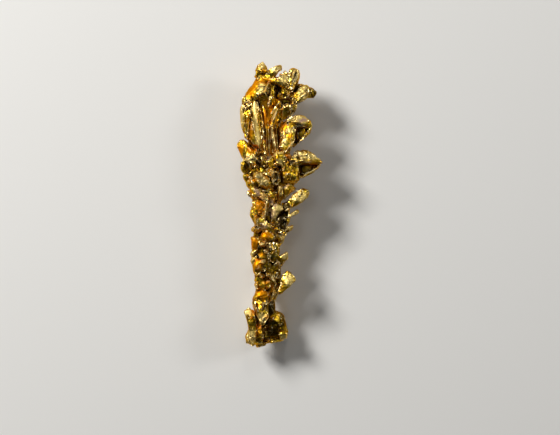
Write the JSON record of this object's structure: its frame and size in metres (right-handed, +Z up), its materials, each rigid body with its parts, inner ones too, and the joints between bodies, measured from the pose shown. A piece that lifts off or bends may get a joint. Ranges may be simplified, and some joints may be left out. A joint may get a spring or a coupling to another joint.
{
  "type": "gold nugget",
  "caption": "Club-shaped crystalline gold nugget with feather-like flattened and hollow-faced crystals, lying on its back.",
  "frame": {"origin": "middle of the nugget's box, on the surface that it lies on", "axes": "+Y along the nugget from its foot to its broad crown, +Z up from the surface that it lies on, +X towards the side of the long crystals"},
  "size_m": [0.0132, 0.0432, 0.0087],
  "materials": {
    "nugget": "satin"
  },
  "bodies": {
    "root": {"nugget": "nugget"}
  },
  "joints": []
}
